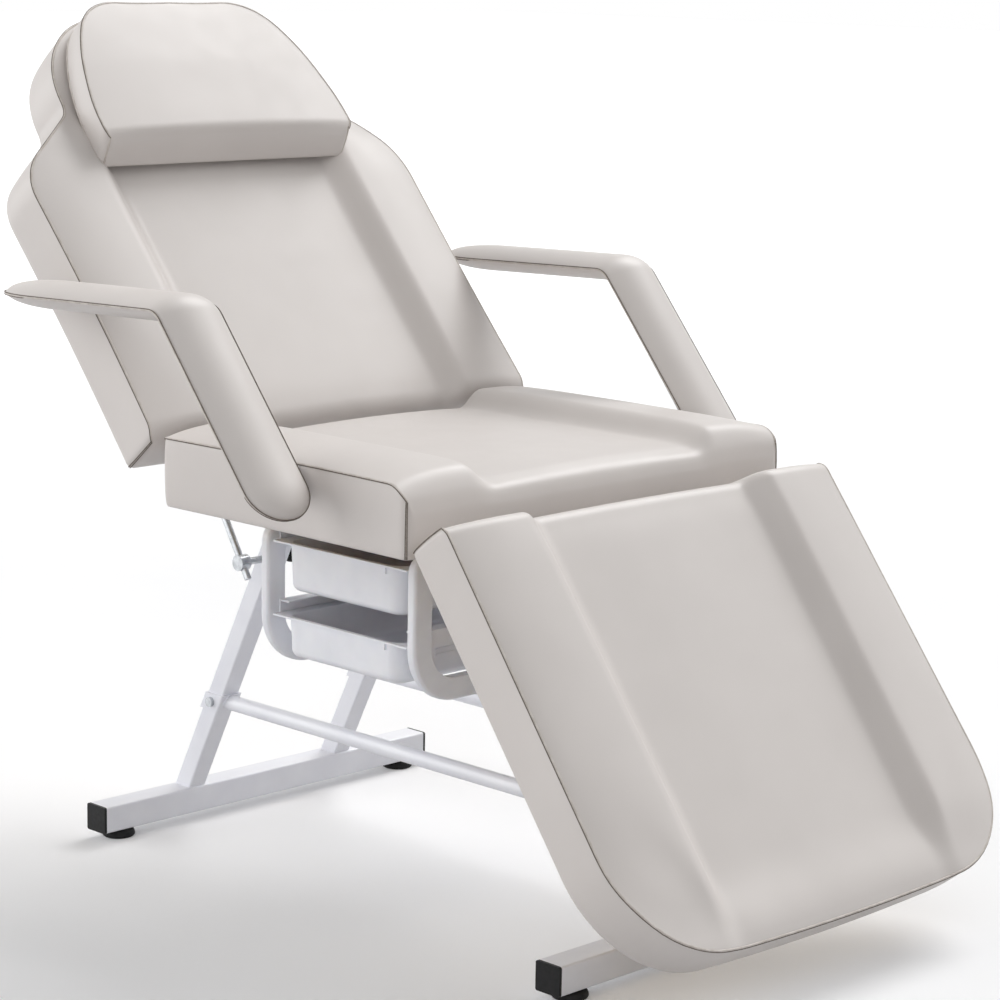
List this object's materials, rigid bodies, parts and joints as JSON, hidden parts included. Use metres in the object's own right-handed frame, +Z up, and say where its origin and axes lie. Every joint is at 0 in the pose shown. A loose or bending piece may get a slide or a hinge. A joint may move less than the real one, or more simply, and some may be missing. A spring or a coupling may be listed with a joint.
{
  "type": "tattoo chair",
  "caption": "Reclining treatment chair with padded bolster cushions, head pillow, bent armrests, adjustable legrest, splayed tube base and sliding trays under the seat.",
  "frame": {"origin": "on the floor, under the middle of the chair's overall length and width", "axes": "+Z up, +Y from the legrest towards the backrest, +X across towards the sitter's left"},
  "size_m": [0.93, 1.4414, 1.1686],
  "materials": {
    "vinyl": "smooth matt synthetic leather",
    "plywood": "plain plywood",
    "white_steel": "satin powder coat",
    "zinc": "zinc plated",
    "white_plastic": "moulded satin",
    "black_plastic": "matt",
    "black_rubber": "matt"
  },
  "bodies": {
    "base_and_seat": {"seat_cushion": "vinyl", "seat_board": "plywood", "armrest_pad_right": "vinyl", "armrest_pad_left": "vinyl", "armrest_bracket_right": "white_steel", "armrest_bracket_left": "white_steel", "armrest_anchors": "zinc", "armrest_bolts": "zinc", "seat_rail_right": "white_steel", "seat_rail_left": "white_steel", "seat_crossbars": "white_steel", "rear_hinge_ears": "white_steel", "front_hinge_ears": "white_steel", "backrest_hinge_pins": "zinc", "legrest_hinge_pins": "zinc", "rear_lower_legs": "white_steel", "rear_upper_legs": "white_steel", "front_lower_legs": "white_steel", "front_upper_legs": "white_steel", "leg_collars": "white_steel", "leg_bolts": "zinc", "side_bar_right": "white_steel", "side_bar_left": "white_steel", "rear_foot_bar": "white_steel", "front_foot_bar": "white_steel", "bar_end_caps": "black_plastic", "front_tray_ring": "white_plastic", "rear_tray_ring": "white_plastic", "tray_rails": "white_plastic"},
    "backrest": {"backrest_cushion": "vinyl", "backrest_board": "plywood", "backrest_rail_right": "white_steel", "backrest_rail_left": "white_steel", "backrest_crossbars": "white_steel", "backrest_hinge_plates": "white_steel", "backrest_stay_pins": "zinc"},
    "head_pillow": {"head_pillow": "vinyl"},
    "backrest_stays": {"backrest_stay_rods": "zinc"},
    "backrest_eyes": {"backrest_stay_eyes": "zinc"},
    "legrest": {"legrest_cushion": "vinyl", "legrest_board": "plywood", "legrest_rail_right": "white_steel", "legrest_rail_left": "white_steel", "legrest_crossbars": "white_steel", "legrest_hinge_plates": "white_steel", "legrest_stay_lugs": "white_steel"},
    "legrest_stays": {"legrest_stay_rods": "zinc"},
    "legrest_eyes": {"legrest_stay_eyes": "zinc"},
    "upper_tray": {"upper_tray": "white_plastic"},
    "lower_tray": {"lower_tray": "white_plastic"},
    "backrest_knob_right": {"backrest_clamp_knob_right": "black_plastic"},
    "legrest_knob_right": {"legrest_clamp_knob_right": "black_plastic"},
    "backrest_knob_left": {"backrest_clamp_knob_left": "black_plastic"},
    "legrest_knob_left": {"legrest_clamp_knob_left": "black_plastic"},
    "foot_rear_right": {"levelling_foot_rear_right": "black_rubber"},
    "foot_rear_left": {"levelling_foot_rear_left": "black_rubber"},
    "foot_front_right": {"levelling_foot_front_right": "black_rubber"},
    "foot_front_left": {"levelling_foot_front_left": "black_rubber"}
  },
  "joints": [
    {"name": "backrest_recline", "type": "hinge", "parent": "base_and_seat", "child": "backrest", "pos_m": [0, 0.21078, 0.57282], "axis": [1, 0, 0], "range_deg": [-49.3, 10.7]},
    {"name": "backrest_stay_swing", "type": "hinge", "parent": "backrest", "child": "backrest_stays", "pos_m": [0, 0.35244, 0.64704], "axis": [1, 0, 0], "range_deg": [-5.35, 24.65]},
    {"name": "backrest_eye_swivel", "type": "hinge", "parent": "base_and_seat", "child": "backrest_eyes", "pos_m": [0, 0.20524, 0.413], "axis": [1, 0, 0], "range_deg": [-24.65, 5.35]},
    {"name": "legrest_swing", "type": "hinge", "parent": "base_and_seat", "child": "legrest", "pos_m": [0, -0.29383, 0.52], "axis": [1, 0, 0], "range_deg": [-52.7, 5.3]},
    {"name": "legrest_stay_swing", "type": "hinge", "parent": "legrest", "child": "legrest_stays", "pos_m": [0, -0.39199, 0.35522], "axis": [1, 0, 0], "range_deg": [-2.65, 26.35]},
    {"name": "legrest_eye_swivel", "type": "hinge", "parent": "base_and_seat", "child": "legrest_eyes", "pos_m": [0, -0.34446, 0.335], "axis": [1, 0, 0], "range_deg": [-26.35, 2.65]},
    {"name": "upper_tray_slide", "type": "slide", "parent": "base_and_seat", "child": "upper_tray", "axis": [-1, 0, 0], "range_m": [0, 0.3]},
    {"name": "lower_tray_slide", "type": "slide", "parent": "base_and_seat", "child": "lower_tray", "axis": [-1, 0, 0], "range_m": [0, 0.3]},
    {"name": "head_pillow_lift_off", "type": "slide", "parent": "backrest", "child": "head_pillow", "axis": [0, -0.7581, 0.6521], "range_m": [0, 0.08]},
    {"name": "foot_rear_right_screw", "type": "slide", "parent": "base_and_seat", "child": "foot_rear_right", "axis": [0, 0, -1], "range_m": [0, 0.012]},
    {"name": "foot_rear_left_screw", "type": "slide", "parent": "base_and_seat", "child": "foot_rear_left", "axis": [0, 0, -1], "range_m": [0, 0.012]},
    {"name": "foot_front_right_screw", "type": "slide", "parent": "base_and_seat", "child": "foot_front_right", "axis": [0, 0, -1], "range_m": [0, 0.012]},
    {"name": "foot_front_left_screw", "type": "slide", "parent": "base_and_seat", "child": "foot_front_left", "axis": [0, 0, -1], "range_m": [0, 0.012]},
    {"name": "backrest_knob_right_turn", "type": "hinge", "parent": "backrest_eyes", "child": "backrest_knob_right", "pos_m": [-0.125, 0.20524, 0.413], "axis": [-1, 0, 0], "range_deg": [0, 180]},
    {"name": "backrest_knob_left_turn", "type": "hinge", "parent": "backrest_eyes", "child": "backrest_knob_left", "pos_m": [0.125, 0.20524, 0.413], "axis": [1, 0, 0], "range_deg": [0, 180]},
    {"name": "legrest_knob_right_turn", "type": "hinge", "parent": "legrest_eyes", "child": "legrest_knob_right", "pos_m": [-0.087, -0.34446, 0.335], "axis": [-1, 0, 0], "range_deg": [0, 180]},
    {"name": "legrest_knob_left_turn", "type": "hinge", "parent": "legrest_eyes", "child": "legrest_knob_left", "pos_m": [0.087, -0.34446, 0.335], "axis": [1, 0, 0], "range_deg": [0, 180]}
  ],
  "couplings": [
    {"joint": "backrest_stay_swing", "follows": "backrest_recline", "ratio": -0.5},
    {"joint": "backrest_eye_swivel", "follows": "backrest_recline", "ratio": 0.5},
    {"joint": "legrest_stay_swing", "follows": "legrest_swing", "ratio": -0.5},
    {"joint": "legrest_eye_swivel", "follows": "legrest_swing", "ratio": 0.5}
  ]
}
